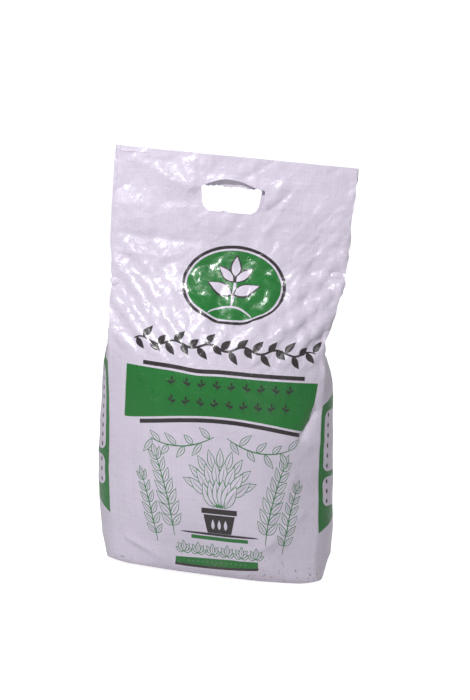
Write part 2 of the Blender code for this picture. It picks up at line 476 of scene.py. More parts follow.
class Surface:
    """The cloth grid as a smooth surface over the flat pattern."""

    def __init__(self, points, row_v):
        self.points, self.row_v = points, row_v
        self.column_stops = np.array([column_u(i) for i in range(COLUMNS + 1)])
        self.seam_v = row_v[-1] - HEM_WIDTH

    def place(self, u, v):
        column = np.interp(u, self.column_stops, np.arange(COLUMNS + 1))
        row = np.interp(v, self.row_v, np.arange(len(self.row_v)))
        columns, across = cubic(self.points, column, 1, True)
        rows, down = cubic(self.points, row, 0, False)
        smooth = sum(
            (a * d)[:, None] * self.points[r, c]
            for c, a in zip(columns, across) for r, d in zip(rows, down)
        )
        t, s = column - np.floor(column), row - np.floor(row)
        plain = sum(
            (a * d)[:, None] * self.points[rows[1 + j], columns[1 + i]]
            for i, a in enumerate((1 - t, t)) for j, d in enumerate((1 - s, s))
        )
        hem = smooth_step(self.seam_v - 0.012, self.seam_v - 0.004, v)[:, None]
        return smooth * (1 - hem) + plain * hem

    def normal(self, u, v, step=0.003):
        across = self.place(u + step, v) - self.place(u - step, v)
        down = self.place(u, np.minimum(v + step, self.row_v[-1])) - self.place(
            u, np.maximum(v - step, 0.0))
        normal = np.cross(down, across)
        return normal / np.maximum(np.linalg.norm(normal, axis=1, keepdims=True), 1e-12)


# Creases and crumples drawn over the relaxed cloth. Front-panel places are in metres:
# x from the panel's middle, y up the fabric from the base's front edge.

BASE_V = 0.625


def front(x, y):
    return FRONT_MIDDLE + x, BASE_V - y


def crease(x, y, start, end, height, sharp, fade):
    """A raised or sunk fold line: a sharp peak that dies away to both sides and at its ends."""
    dx, dy = end[0] - start[0], end[1] - start[1]
    length = math.hypot(dx, dy)
    along = ((x - start[0]) * dx + (y - start[1]) * dy) / length ** 2
    off = ((x - start[0]) * dy - (y - start[1]) * dx) / length
    ends = smooth_step(-0.10, 0.12, along) * smooth_step(1.10, 0.88, along)
    return height * ends * np.exp(-np.sqrt((off / fade) ** 2 + sharp ** 2) + sharp)


# start, end, height, and how far it dies away
CREASES = (
    ((-0.160, 0.612), (-0.060, 0.574), 0.0050, 0.010),
    ((-0.170, 0.500), (-0.050, 0.497), -0.0030, 0.006),
    ((-0.172, 0.474), (-0.090, 0.470), 0.0022, 0.006),
    ((0.100, 0.476), (0.172, 0.472), -0.0030, 0.006),
    ((0.075, 0.606), (0.050, 0.560), 0.0040, 0.010),
    ((-0.050, 0.615), (-0.047, 0.570), 0.0022, 0.004),
    ((-0.066, 0.618), (-0.052, 0.572), 0.0020, 0.004),
    ((-0.080, 0.612), (-0.058, 0.574), 0.0020, 0.005),
    ((0.020, 0.618), (0.036, 0.575), 0.0018, 0.006),
    ((0.172, 0.520), (0.120, 0.560), 0.0022, 0.008),
    ((-0.172, 0.545), (-0.060, 0.545), 0.0022, 0.016),
    ((-0.150, 0.045), (-0.075, 0.014), 0.0042, 0.0045),
    ((0.052, 0.158), (0.012, 0.112), 0.0028, 0.005),
    ((0.150, 0.110), (0.080, 0.055), 0.0030, 0.010),
    ((0.130, 0.165), (0.075, 0.085), 0.0024, 0.012),
    ((0.110, 0.070), (0.040, 0.030), 0.0018, 0.010),
    ((0.140, 0.216), (0.166, 0.262), -0.0055, 0.006),
)


# Short creases strewn over an area: seed, count, area as left, right, low and high, then the
# ranges of their lengths, heights and fades, and how far they slant
CRUMPLED_TOP = (31, 150, (-0.28, 0.63, 0.30, 0.62), (0.03, 0.13), (0.0006, 0.0022), (0.004, 0.013), 0.75)
CRUMPLED_SHOULDER = (32, 70, (0.06, 0.20, 0.30, 0.53), (0.015, 0.06), (0.0005, 0.0016), (0.003, 0.008), 1.1)
FILLED_BODY = (33, 60, (-0.28, 0.63, 0.03, 0.30), (0.04, 0.12), (0.0002, 0.0009), (0.005, 0.014), 0.9)


def scattered(x, y, seed, count, area, lengths, heights, fades, slant):
    """Many short creases, strewn over an area."""
    draw = np.random.default_rng(seed)
    total = np.zeros_like(x)
    for _ in range(count):
        middle = (draw.uniform(area[0], area[1]), draw.uniform(area[2], area[3]))
        angle, length = draw.normal(0.0, slant), draw.uniform(*lengths)
        height, fade = draw.uniform(*heights) * draw.choice((-1.0, 1.0)), draw.uniform(*fades)
        dx, dy = 0.5 * length * math.cos(angle), 0.5 * length * math.sin(angle)
        near = np.hypot(x - middle[0], y - middle[1]) < 0.6 * length + 5.0 * fade
        start, end = (middle[0] - dx, middle[1] - dy), (middle[0] + dx, middle[1] + dy)
        total[near] += crease(x[near], y[near], start, end, height, 0.12, fade)
    return total


def ridges(u, v, cell, seed, height):
    """Sharp valleys between rounded facets."""
    return (np.abs(noise(u, v, cell, seed)) - 0.35) * height


def crumple(u, v):
    """Height of the fabric's own creases over the relaxed cloth, outwards."""
    x, y = u - FRONT_MIDDLE, BASE_V - v
    empty = smooth_step(0.30, 0.40, y)
    shoulder = smooth_step(0.24, 0.33, y) * smooth_step(0.56, 0.44, y)
    folded = ridges(u, v, 0.046, 21, 0.0026)
    facets = ridges(u, v, 0.021, 22, 0.0016)
    fine = ridges(u, v, 0.010, 23, 0.0008)
    right = smooth_step(0.02, 0.12, x)
    height = folded * (0.25 + 0.75 * empty) + facets * (0.18 + 0.6 * empty + 0.6 * shoulder * right)
    height += fine * (0.10 + 0.7 * empty + 0.6 * shoulder)
    height += 0.0030 * noise(u, v, 0.115, 24) * smooth_step(0.02, 0.12, y)
    height += empty * scattered(x, y, *CRUMPLED_TOP)
    height += scattered(x, y, *CRUMPLED_SHOULDER)
    height += scattered(x, y, *FILLED_BODY)
    on_front = smooth_step(-0.006, 0.0, HALF_FLAT - np.abs(x))
    for start, end, rise, fade in CREASES:
        height += on_front * crease(x, y, start, end, rise, 0.35, fade)
    return height


def front_lift(u, v):
    """How far the front layer stands off over the slot, where hands have pulled it forward."""
    x, y = u - FRONT_MIDDLE, BASE_V - v
    top = BASE_V - (HEIGHT - SLOT_TOP)
    return 0.0050 * np.exp(-((x - SLOT_MIDDLE) / 0.040) ** 2 - ((y - top - 0.004) / 0.016) ** 2)


# Outlines in the pattern

OUTLINE_STEP = 0.0030


def ellipse(x, y, radius_x, radius_y, count=64):
    turns = [2.0 * math.pi * i / count for i in range(count)]
    return [(x + radius_x * math.cos(t), y + radius_y * math.sin(t)) for t in turns]


def densified(points, step=OUTLINE_STEP):
    """The closed outline again with no side longer than step."""
    dense = []
    for (x0, y0), (x1, y1) in zip(points, points[1:] + points[:1]):
        count = max(1, math.ceil(math.hypot(x1 - x0, y1 - y0) / step))
        dense += [(x0 + (x1 - x0) * i / count, y0 + (y1 - y0) * i / count) for i in range(count)]
    return dense


def box(x0, x1, y0, y1):
    return densified([(x0, y0), (x1, y0), (x1, y1), (x0, y1)])


def band(x0, x1, low, high):
    """A strip between two edges given as functions of x."""
    count = max(2, math.ceil((x1 - x0) / OUTLINE_STEP))
    xs = [x0 + (x1 - x0) * i / count for i in range(count + 1)]
    return densified([(x, low(x)) for x in xs] + [(x, high(x)) for x in reversed(xs)])


def stroke(points, width, taper=0.35):
    """A drawn line as an outline, thinner towards both ends."""
    left, right = [], []
    last = len(points) - 1
    for i, (x, y) in enumerate(points):
        x0, y0 = points[max(i - 1, 0)]
        x1, y1 = points[min(i + 1, last)]
        run = math.hypot(x1 - x0, y1 - y0)
        half = 0.5 * width * (taper + (1.0 - taper) * math.sin(math.pi * i / last) ** 0.5)
        left.append((x - (y1 - y0) / run * half, y + (x1 - x0) / run * half))
        right.append((x + (y1 - y0) / run * half, y - (x1 - x0) / run * half))
    return left + right[::-1]


def leaf(x, y, angle, length, width, bend=0.0, count=7):
    """A pointed leaf from its stalk end at (x, y)."""
    cos, sin = math.cos(angle), math.sin(angle)
    sides = ([], [])
    for i in range(count + 1):
        t = i / count
        half = 0.5 * width * math.sin(math.pi * t ** 0.8)
        droop = bend * length * t * t
        for side, points in zip((1.0, -1.0), sides):
            along, off = t * length, side * half + droop
            points.append((x + along * cos - off * sin, y + along * sin + off * cos))
    return sides[0] + sides[1][-2:0:-1]


def arc(x, y, radius_x, radius_y, start, end, count):
    turns = [math.radians(start + (end - start) * i / count) for i in range(count + 1)]
    return [(x + radius_x * math.cos(t), y + radius_y * math.sin(t)) for t in turns]


def line_leaf(x, y, angle, length, width, bend=0.0, line=0.0011):
    """A leaf in line art: an inked outline, a bare inside and an inked midrib."""
    inner = leaf(x + 1.3 * line * math.cos(angle), y + 1.3 * line * math.sin(angle), angle,
                 length - 3.0 * line, width - 2.4 * line, bend)
    rib = [
        (x + t * length * math.cos(angle) - bend * length * t * t * math.sin(angle),
         y + t * length * math.sin(angle) + bend * length * t * t * math.cos(angle))
        for t in (0.06, 0.3, 0.55, 0.78)
    ]
    return [("line", leaf(x, y, angle, length, width, bend)), ("film", inner),
            ("line", stroke(rib, 0.9 * line))]


# The print, in front-panel places. Later outlines cover earlier ones.

BADGE = (0.0125, 0.438)
BADGE_RADII = (0.078, 0.0605)
BAND_LEFT, BAND_RIGHT = -0.141, 0.165
BAND_LOW, BAND_HIGH = 0.226, 0.300
BAR_LEFT, BAR_RIGHT = -0.113, 0.141
BAR_WIDTH = 0.0060
BAR_GAP = 0.0032
VINE_LEFT, VINE_RIGHT, VINE_Y = -0.131, 0.158, 0.341
PLANT_X, PLANT_FOOT = 0.011, 0.072
BANNER = (0.0065, 0.0215)
BANNER_SIZE = (0.137, 0.0165)
BANNER_TILT = 0.040


def high_wave(x):
    """How the band's upper edge and the bar over it dip."""
    return 0.0008 - 0.010 * x - 0.0024 * math.exp(-((x + 0.028) / 0.026) ** 2)


def low_wave(x):
    """How the band's lower edge and the bar under it rise in the middle."""
    return 0.0170 * max(0.0, math.cos(math.pi * (x - 0.012) / 0.306)) ** 1.2


def badge():
    """The oval badge over the border: a bare seedling on green."""
    x, y = BADGE
    across, up = BADGE_RADII
    shapes = [
        ("dark", ellipse(x, y, across, up, 128)),
        ("film", ellipse(x, y, across - 0.0045, up - 0.0045, 120)),
        ("green", ellipse(x, y, across - 0.0073, up - 0.0073, 116)),
    ]
    stem = [(x + 0.0016 * math.sin(3.0 * t), y - 0.034 + 0.052 * t) for t in (0, 0.25, 0.5, 0.75, 1)]
    shapes.append(("film", stroke(stem, 0.0046, 0.6)))
    for side in (1.0, -1.0):
        for low, reach, width, lift in ((-0.014, 0.044, 0.021, 0.50), (0.006, 0.036, 0.017, 0.85)):
            angle = lift if side > 0 else math.pi - lift
            shapes.append(("dark", leaf(x, y + low, angle, reach, width, -0.10 * side, 10)))
            shapes.append(("film", leaf(x + side * 0.0024, y + low + 0.0018, angle, reach - 0.0055,
                                        width - 0.0050, -0.10 * side, 10)))
    shapes.append(("dark", leaf(x, y + 0.014, 0.5 * math.pi, 0.034, 0.018, 0.0, 10)))
    shapes.append(("film", leaf(x, y + 0.0165, 0.5 * math.pi, 0.028, 0.013, 0.0, 10)))
    ground = arc(x, y - 0.060, 0.038, 0.028, 150.0, 30.0, 12)
    shapes.append(("film", stroke(ground, 0.0034, 0.3)))
    return shapes


def vine():
    """A running border of dark leaves on a waving stem."""
    def stem_at(x):
        return VINE_Y + 0.0040 * math.sin(2.0 * math.pi * (x - VINE_LEFT) / 0.053)

    xs = [VINE_LEFT + (VINE_RIGHT - VINE_LEFT) * i / 60 for i in range(61)]
    shapes = [("dark", stroke([(x, stem_at(x)) for x in xs], 0.0036, 0.5))]
    count = 24
    for i in range(count):
        x = VINE_LEFT + 0.004 + (VINE_RIGHT - VINE_LEFT - 0.008) * i / (count - 1)
        side = 1.0 if i % 2 else -1.0
        angle = side * (0.95 + 0.12 * math.sin(2.3 * i))
        size = 0.0210 + 0.0025 * math.sin(1.7 * i)
        shapes.append(("dark", leaf(x, stem_at(x), angle, size, 0.0108, -0.10 * side)))
    return shapes


def band_and_bars():
    """The green band between two dark bars, its lower right corner tucked away."""
    shapes = [
        ("dark", band(BAR_LEFT, BAR_RIGHT, lambda x: BAND_HIGH + BAR_GAP + high_wave(x),
                      lambda x: BAND_HIGH + BAR_GAP + BAR_WIDTH + high_wave(x))),
        ("green", band(BAND_LEFT - 0.005, BAND_RIGHT, lambda x: BAND_LOW + low_wave(x),
                       lambda x: BAND_HIGH + high_wave(x))),
        ("film", [(BAND_LEFT - 0.006, BAND_HIGH + 0.006), (BAND_LEFT, BAND_HIGH + 0.006),
                  (BAND_LEFT - 0.005, BAND_LOW - 0.002), (BAND_LEFT - 0.006, BAND_LOW - 0.002)]),
        ("film", densified([(BAND_RIGHT - 0.022, BAND_LOW - 0.002), (BAND_RIGHT - 0.0075, BAND_LOW + 0.020),
                            (BAND_RIGHT, BAND_HIGH + 0.004), (BAND_RIGHT + 0.004, BAND_LOW - 0.002)])),
        ("dark", band(BAR_LEFT - 0.0055, BAR_RIGHT - 0.002,
                      lambda x: BAND_LOW - BAR_GAP - BAR_WIDTH + low_wave(x),
                      lambda x: BAND_LOW - BAR_GAP + low_wave(x))),
    ]
    for row, (y, left, right) in enumerate(((0.284, -0.066, 0.118), (0.258, -0.066, 0.112))):
        count = 9
        for i in range(count):
            x = left + (right - left) * i / (count - 1)
            shapes += sprig(x, y - 0.006, 0.016, 1.0 if (i + row) % 2 else -1.0)
    return shapes


def sprig(x, y, height, side):
    """A small dark seedling: a stalk, two side leaves and a tip."""
    up = 0.5 * math.pi
    return [
        ("dark", stroke([(x, y), (x + 0.0006 * side, y + 0.5 * height), (x, y + 0.8 * height)], 0.0014)),
        ("dark", leaf(x, y + 0.30 * height, up - 0.95 * side, 0.55 * height, 0.0038)),
        ("dark", leaf(x, y + 0.42 * height, up + 0.95 * side, 0.50 * height, 0.0036)),
        ("dark", leaf(x, y + 0.62 * height, up, 0.42 * height, 0.0036)),
    ]


def spray(x, y, reach, lean, leaves, size):
    """A tall leafy stem in green line art, bending outwards."""
    def stem_at(t):
        return x + lean * t ** 1.7, y + reach * t

    shapes = []
    for i in range(leaves):
        t = 0.14 + 0.80 * i / (leaves - 1)
        sx, sy = stem_at(t)
        heading = math.atan2(reach, 1.7 * lean * t ** 0.7)
        fall = 0.85 - 0.25 * t
        length = size * (1.0 - 0.45 * abs(t - 0.35))
        for side in (1.0, -1.0):
            shapes += line_leaf(sx, sy, heading + side * fall, length, 0.42 * length, -0.12 * side)
    tip_x, tip_y = stem_at(0.97)
    shapes += line_leaf(tip_x, tip_y, math.atan2(reach, 1.7 * lean), 0.8 * size, 0.32 * size)
    points = [stem_at(i / 16) for i in range(17)]
    shapes.append(("line", stroke(points, 0.0019, 0.5)))
    return shapes


def garland(start, end, sag, leaves, size):
    """A hanging branch of green line leaves between two places."""
    def stem_at(t):
        return (start[0] + (end[0] - start[0]) * t,
                start[1] + (end[1] - start[1]) * t - 4.0 * sag * t * (1.0 - t))

    shapes = [("line", stroke([stem_at(i / 16) for i in range(17)], 0.0019, 0.5))]
    heading = math.atan2(end[1] - start[1], end[0] - start[0])
    for i in range(leaves):
        side = 1.0 if i % 2 else -1.0
        x, y = stem_at(0.06 + 0.90 * i / (leaves - 1))
        shapes += line_leaf(x, y, heading + 0.95 * side, size * (1.0 + 0.15 * math.sin(2.1 * i)),
                            0.42 * size, -0.12 * side)
    return shapes


def rosette(x, y, size):
    """A low clump of five line leaves."""
    shapes = []
    for turn in (1.15, -1.15, 0.60, -0.60, 0.0):
        shapes += line_leaf(x, y, 0.5 * math.pi + turn, size * (1.0 - 0.18 * abs(turn)), 0.46 * size)
    return shapes


def potted_plant(x, y):
    """The middle motif: a dark pot with a full leafy plant."""
    shapes = []
    rows = ((0.058, 0.030, 9, 1.25), (0.046, 0.036, 8, 0.95), (0.030, 0.040, 6, 0.55))
    for ring_index, (reach, size, count, spread) in enumerate(rows):
        for i in range(count):
            t = i / (count - 1) - 0.5
            angle = 0.5 * math.pi - 2.0 * spread * t
            start = 0.034 + 0.35 * reach
            sx = x + 0.55 * reach * math.cos(angle)
            sy = y + start + 0.75 * reach * math.sin(angle) - 0.012 * ring_index
            stalk = [(x + 0.010 * t, y + 0.040), (0.5 * (x + sx), 0.52 * (y + 0.04 + sy)), (sx, sy)]
            shapes.append(("line", stroke(stalk, 0.0013, 0.8)))
            shapes += line_leaf(sx, sy, angle, size, 0.40 * size, 0.16 * t)
    rim, foot, tall = 0.028, 0.019, 0.038
    pot = [(x - foot, y), (x + foot, y), (x + rim - 0.003, y + tall - 0.009),
           (x - rim + 0.003, y + tall - 0.009)]
    shapes.append(("dark", densified(pot)))
    shapes.append(("film", box(x - rim, x + rim, y + tall - 0.0095, y + tall - 0.0080)))
    shapes.append(("dark", box(x - rim, x + rim, y + tall - 0.008, y + tall)))
    for k in (-1.0, 0.0, 1.0):
        shapes.append(("film", leaf(x + 0.010 * k, y + 0.006, 0.5 * math.pi, 0.016, 0.0052)))
    shelf = [(x - 0.062 + 0.124 * i / 24, y - 0.0022) for i in range(25)]
    shapes.append(("dark", stroke(shelf, 0.0040, 0.25)))
    shapes.append(("green", band(x - 0.046, x + 0.046, lambda q: y - 0.0120, lambda q: y - 0.0060)))
    return shapes


def plants():
    """The potted plant between leafy stems, with branches over it and clumps under it."""
    shapes = []
    for side in (1.0, -1.0):
        shapes += spray(PLANT_X + side * 0.074, PLANT_FOOT - 0.012, 0.118, side * 0.028, 7, 0.029)
        shapes += spray(PLANT_X + side * 0.104, PLANT_FOOT - 0.026, 0.098, side * 0.020, 6, 0.024)
        shapes += garland((PLANT_X + side * 0.010, 0.214), (PLANT_X + side * 0.112, 0.202), 0.012, 8, 0.023)
        for step in (0.012, 0.036, 0.060):
            shapes += rosette(PLANT_X + side * step, PLANT_FOOT - 0.037, 0.020)
    return shapes + potted_plant(PLANT_X, PLANT_FOOT)


def banner():
    """The green strip near the base, a little narrower at its ends, with a dark lower edge."""
    x, y = BANNER
    across, up = BANNER_SIZE

    def top(q):
        return y + 0.5 * up - 0.0014 * ((q - x) / (0.5 * across)) ** 2 + BANNER_TILT * (q - x)

    def bottom(q):
        return y - 0.5 * up + 0.0014 * ((q - x) / (0.5 * across)) ** 2 + BANNER_TILT * (q - x)

    left, right = x - 0.5 * across, x + 0.5 * across
    shapes = [("green", band(left, right, bottom, top)),
              ("dark", band(left, right, bottom, lambda q: bottom(q) + 0.0042))]
    for i in range(-6, 7):
        along = 0.0078 * i
        shapes.append(("line", ellipse(x + along, y + 0.0022 + BANNER_TILT * along, 0.0019, 0.0019, 10)))
    return shapes


def gusset_print(middle_u, top):
    """The green shape down the gusset, with bare rounded panels in it."""
    def place(points):
        return [(middle_u + x - FRONT_MIDDLE, y) for x, y in points]

    half, foot, rise = 0.0465, 0.078, 0.022
    field = [(-half, foot), (0.0, foot + rise), (half, foot), (half, top), (0.0, top + rise), (-half, top)]
    shapes = [("green", densified(place(field)))]
    half, corner = 0.0385, 0.011
    for low, high in ((0.168, top - 0.008), (0.116, 0.160)):
        points = []
        for cx, cy, start in ((half - corner, high - corner, 0), (-half + corner, high - corner, 90),
                              (-half + corner, low + corner, 180), (half - corner, low + corner, 270)):
            points += arc(cx, cy, corner, corner, start, start + 90, 5)
        shapes.append(("film", densified(place(points))))
        count = int((high - low) / 0.013)
        for i in range(count):
            y = low + (high - low) * (i + 0.5) / count
            for side in (1.0, -1.0):
                shapes.append(("dark", place(leaf(side * 0.030, y - 0.003, 0.5 * math.pi, 0.008, 0.0042))))
    return shapes


def slot_outline(rise, ragged):
    """The carrying slot: rounder below, its upper edge arched by rise or ragged."""
    half, top = 0.5 * SLOT_WIDTH, BASE_V - (HEIGHT - SLOT_TOP)
    bottom, high, low = top - SLOT_HEIGHT, 0.004, 0.015
    upper = []
    for i in range(1, 30):
        t = i / 30.0
        arch = rise * math.sin(math.pi * t ** 1.25) + ragged * math.sin(23.0 * t) * math.sin(41.0 * t)
        upper.append((half - high - 2.0 * (half - high) * t, top + arch))
    lower = []
    for i in range(1, 24):
        t = i / 24.0
        tab = 0.0030 * math.exp(-((t - 0.36) / 0.035) ** 2)
        lower.append((-half + low + 2.0 * (half - low) * t, bottom + tab))
    outline = (
        arc(half - high, top - high, high, high, 0, 90, 4) + upper
        + arc(-half + high, top - high, high, high, 90, 180, 4)
        + arc(-half + low, bottom + low, low, low, 180, 270, 7) + lower
        + arc(half - low, bottom + low, low, low, 270, 360, 7)
    )
    return [(SLOT_MIDDLE + x * (1.0 - 0.10 * (top - y) / SLOT_HEIGHT), y) for x, y in outline]


def print_shapes():
    """Every printed outline with its ink, in front-panel places."""
    shapes = badge() + vine() + band_and_bars() + plants() + banner()
    shapes += gusset_print(GUSSET_HALF, 0.300) + gusset_print(RIGHT_FOLD + GUSSET_HALF, 0.266)
    return shapes


# The sleeve

INKS = ("film", "green", "dark", "line")
OPEN = len(INKS)
BAKE_SCALE = 0.9
MERGE = 0.00012
# How far the back layers show past the front ones at the left of the mouth
BACK_SHIFT = 0.005
# How far inside the mouth and the hem the layers are joined
MOUTH_DEPTH, HEM_DEPTH = 0.007, 0.001
SLOT_LIP = 0.005
SLOT_GUARD = 0.001


def fine_columns():
    gusset, panel = 2 * FINE_GUSSET, FINE_PANEL
    stops = ((0.0, LEFT_FOLD, gusset), (LEFT_FOLD, RIGHT_FOLD, panel),
             (RIGHT_FOLD, BACK_FOLD, gusset), (BACK_FOLD, GIRTH, panel))
    parts = [np.linspace(start, end, count, endpoint=False) for start, end, count in stops]
    return np.concatenate(parts + [[GIRTH]])


def fine_rows(surface):
    down = round(surface.seam_v / FINE_ROW)
    hem = np.linspace(surface.seam_v, surface.row_v[-1], 2 * HEM_ROWS)
    return np.concatenate((np.linspace(0.0, surface.seam_v, down, endpoint=False), hem))


def outlines():
    """Every outline in the pattern, with its ink; the two slots come last."""
    found = []
    for ink, outline in print_shapes():
        found.append((INKS.index(ink), [front(x, y) for x, y in outline]))
    found.append((OPEN, [front(x, y) for x, y in slot_outline(0.0110, 0.0)]))
    found.append((OPEN, [(BACK_MIDDLE - x, BASE_V - y) for x, y in slot_outline(0.0, 0.0016)]))
    return found


def plan(surface):
    """The pattern cut into triangles: points, triangles, each triangle's ink, and the slots."""
    columns, rows = fine_columns(), fine_rows(surface)
    drawn = outlines()
    marks = np.array([point for _, outline in drawn for point in outline])
    guards = list(marks)
    for _, slot in drawn[-2:]:
        guards += densified(slot, SLOT_GUARD)
    near = tree_of(guards)
    folds = {0.0, GUSSET_HALF, LEFT_FOLD, RIGHT_FOLD, RIGHT_FOLD + GUSSET_HALF, BACK_FOLD, GIRTH}
    kept = []
    for j, v in enumerate(rows):
        border = j in (0, len(rows) - 1)
        for u in columns:
            on_fold = any(abs(u - fold) < 1e-6 for fold in folds)
            if border or on_fold or near.find((u, v, 0.0))[2] > 0.34 * FINE_ROW:
                kept.append((u, v))
    edges, loops, start = [], [], len(kept)
    for _, outline in drawn:
        loop = list(range(start, start + len(outline)))
        start += len(outline)
        edges += zip(loop, loop[1:] + loop[:1])
        loops.append(loop)
    places = [Vector(point) for point in kept] + [Vector(point) for point in marks]
    points, _, triangles, from_points, _, _ = delaunay_2d_cdt(places, edges, [], 0, MERGE, True)
    points = np.array([tuple(p) for p in points])
    middles = points[np.array(triangles)].mean(axis=1)
    inks = np.zeros(len(triangles), int)
    for ink, outline in drawn:
        inks[inside(middles, np.array(outline))] = ink
    where = {source: i for i, sources in enumerate(from_points) for source in sources}
    slots = [[where[i] for i in loop] for loop in loops[-2:]]
    if len(slots[0]) != len(slots[1]):
        raise ValueError("the two slots' outlines have different counts")
    return points, triangles, inks.tolist(), slots


def tree_of(places):
    tree = KDTree(len(places))
    for i, (u, v) in enumerate(places):
        tree.insert((u, v, 0.0), i)
    tree.balance()
    return tree


def inside(places, outline):
    """Indices of the places inside a closed outline."""
    low, high = outline.min(axis=0), outline.max(axis=0)
    close = np.flatnonzero(((places > low) & (places < high)).all(axis=1))
    x, y = places[close, 0, None], places[close, 1, None]
    x0, y0 = outline.T
    x1, y1 = np.roll(outline, -1, axis=0).T
    spans = (y0 > y) != (y1 > y)
    crossing = x0 + (x1 - x0) * (y - y0) / np.where(y1 == y0, 1.0, y1 - y0)
    return close[(spans & (x < crossing)).sum(axis=1) % 2 == 1]


class Skin:
    """The outer face of the crumpled fabric over the pattern."""

    def __init__(self, surface):
        self.surface = surface

    def at(self, u, v, inset=0.0):
        u, v = np.asarray(u, float), np.asarray(v, float)
        place, normal = self.surface.place(u, v), self.surface.normal(u, v)
        on_front = smooth_step(0.0, 0.01, u - LEFT_FOLD) * smooth_step(0.0, 0.01, RIGHT_FOLD - u)
        calm = smooth_step(self.surface.seam_v - 0.075, self.surface.seam_v - 0.11, v)
        height = crumple(u, v) * calm + front_lift(u, v) * on_front - inset
        place = place + normal * height[:, None]
        behind = smooth_step(GUSSET_HALF, 0.0, u) + smooth_step(BACK_FOLD, BACK_FOLD + 0.1, u)
        place[:, 0] -= BACK_SHIFT * behind * smooth_step(0.26, 0.02, v)
        return place


def mouth_pairs():
    """Quads of fine columns that close the tube's flat end, layer to layer, and the two last gaps."""
    gusset, panel = 2 * FINE_GUSSET, FINE_PANEL
    count = 2 * (gusset + panel)
    left, right = gusset, gusset + panel
    quads = []
    for i in range(FINE_GUSSET):
        quads.append((left + i, left + i + 1, left - i - 1, left - i))
        quads.append((right - i - 1, right - i, right + i, right + i + 1))
        quads.append((i, i + 1, (count - i - 1) % count, (count - i) % count))
        quads.append((right + gusset - i - 1, right + gusset - i, right + gusset + i,
                      right + gusset + i + 1))
    for i in range(FINE_GUSSET, panel - FINE_GUSSET):
        quads.append((left + i, left + i + 1, count - i - 1, count - i))
    middles = ((FINE_GUSSET, left + FINE_GUSSET, count - FINE_GUSSET),
               (right + FINE_GUSSET, right + gusset + FINE_GUSSET, right - FINE_GUSSET))
    return quads, middles


class Builder:
    """Collects faces with their bake places while the sleeve is put together."""

    def __init__(self, places):
        self.places = [tuple(p) for p in places]
        self.faces, self.inks, self.maps = [], [], []
        self.spare = BAKE_SCALE * 0.81

    def add(self, points):
        start = len(self.places)
        self.places += [tuple(p) for p in points]
        return list(range(start, start + len(points)))

    def face(self, corners, ink, maps):
        kept = [i for i in range(len(corners)) if corners[i] != corners[i - 1]]
        corners, maps = tuple(corners[i] for i in kept), [maps[i] for i in kept]
        if len(corners) > 2:
            self.faces.append(corners)
            self.inks.append(ink)
            self.maps.append(maps)

    def strip(self, upper, lower, closed=True, ink=0):
        """Quads between two rows of points, mapped to a spare line of the bake."""
        count = len(upper)
        step = min(BAKE_SCALE * 0.96 / count, 0.003)
        low, high = self.spare, self.spare + BAKE_SCALE * 0.008
        for i in range(count if closed else count - 1):
            j = (i + 1) % count
            self.face((upper[i], upper[j], lower[j], lower[i]), ink,
                      ((i * step, high), ((i + 1) * step, high), ((i + 1) * step, low), (i * step, low)))
        self.spare = high + BAKE_SCALE * 0.003

    def scraps(self, faces, ink=0):
        """Separate closing faces, each on its own square of a spare line."""
        size = BAKE_SCALE * 0.0030
        per_line = 280
        for i, corners in enumerate(faces):
            x, y = (i % per_line) * 1.12 * size, self.spare + (i // per_line) * 1.3 * size
            square = ((x, y), (x + size, y), (x + size, y + size), (x, y + size))
            self.face(tuple(corners), ink, square[:len(corners)])
        self.spare += (len(faces) // per_line + 1) * 1.3 * size


def build_sleeve():
    shape, row_v = grid_shape()
    surface = Surface(relax(slump(shape), row_v), row_v)
    skin = Skin(surface)
    points, triangles, inks, slots = plan(surface)
    same = {}
    by_v = {round(v, 6): i for i, (u, v) in enumerate(points) if abs(u) < 1e-6}
    for i, (u, v) in enumerate(points):
        if abs(u - GIRTH) < 1e-6:
            same[i] = by_v[round(v, 6)]
    build = Builder(skin.at(points[:, 0], points[:, 1]))
    for corners, ink in zip(triangles, inks):
        if ink != OPEN:
            build.face(tuple(same.get(i, i) for i in corners), ink, [tuple(points[i]) for i in corners])
    columns = fine_columns()[:-1]
    nearest = tree_of(points)
    quads, middles = mouth_pairs()
    for v, depth in ((0.0, MOUTH_DEPTH), (row_v[-1], -HEM_DEPTH)):
        rim = [nearest.find((u, v, 0.0))[1] for u in columns]
        level = np.full(len(columns), v)
        lip = build.add(skin.at(columns, level, FABRIC))
        build.strip(rim, lip)
        deep = build.add(skin.at(columns, level + depth, 1.3 * FABRIC))
        build.strip(lip, deep)
        build.scraps([tuple(deep[i] for i in quad) for quad in quads])
        build.scraps([tuple(deep[i] for i in corners) for corners in middles])
    close_slots(build, skin, points, slots)
    return make_mesh(build)


def close_slots(build, skin, points, slots):
    """The cut edges of the two layers round the slot, and the join between them."""
    rows = []
    for slot in slots:
        places = points[slot]
        middle = places.mean(axis=0)
        away = (places - middle) / np.linalg.norm(places - middle, axis=1, keepdims=True)
        lip = build.add(skin.at(places[:, 0], places[:, 1], FABRIC))
        beyond = places + SLOT_LIP * away
        deep = build.add(skin.at(beyond[:, 0], beyond[:, 1], 1.3 * FABRIC))
        rows.append((list(slot), lip, deep))
    front_rows, back_rows = rows
    back_rows = [match(row, slots[0], slots[1], points) for row in back_rows]
    build.strip(front_rows[0], front_rows[1])
    build.strip(front_rows[1], front_rows[2])
    build.strip(front_rows[2], back_rows[2])
    build.strip(back_rows[2], back_rows[1])
    build.strip(back_rows[1], back_rows[0])


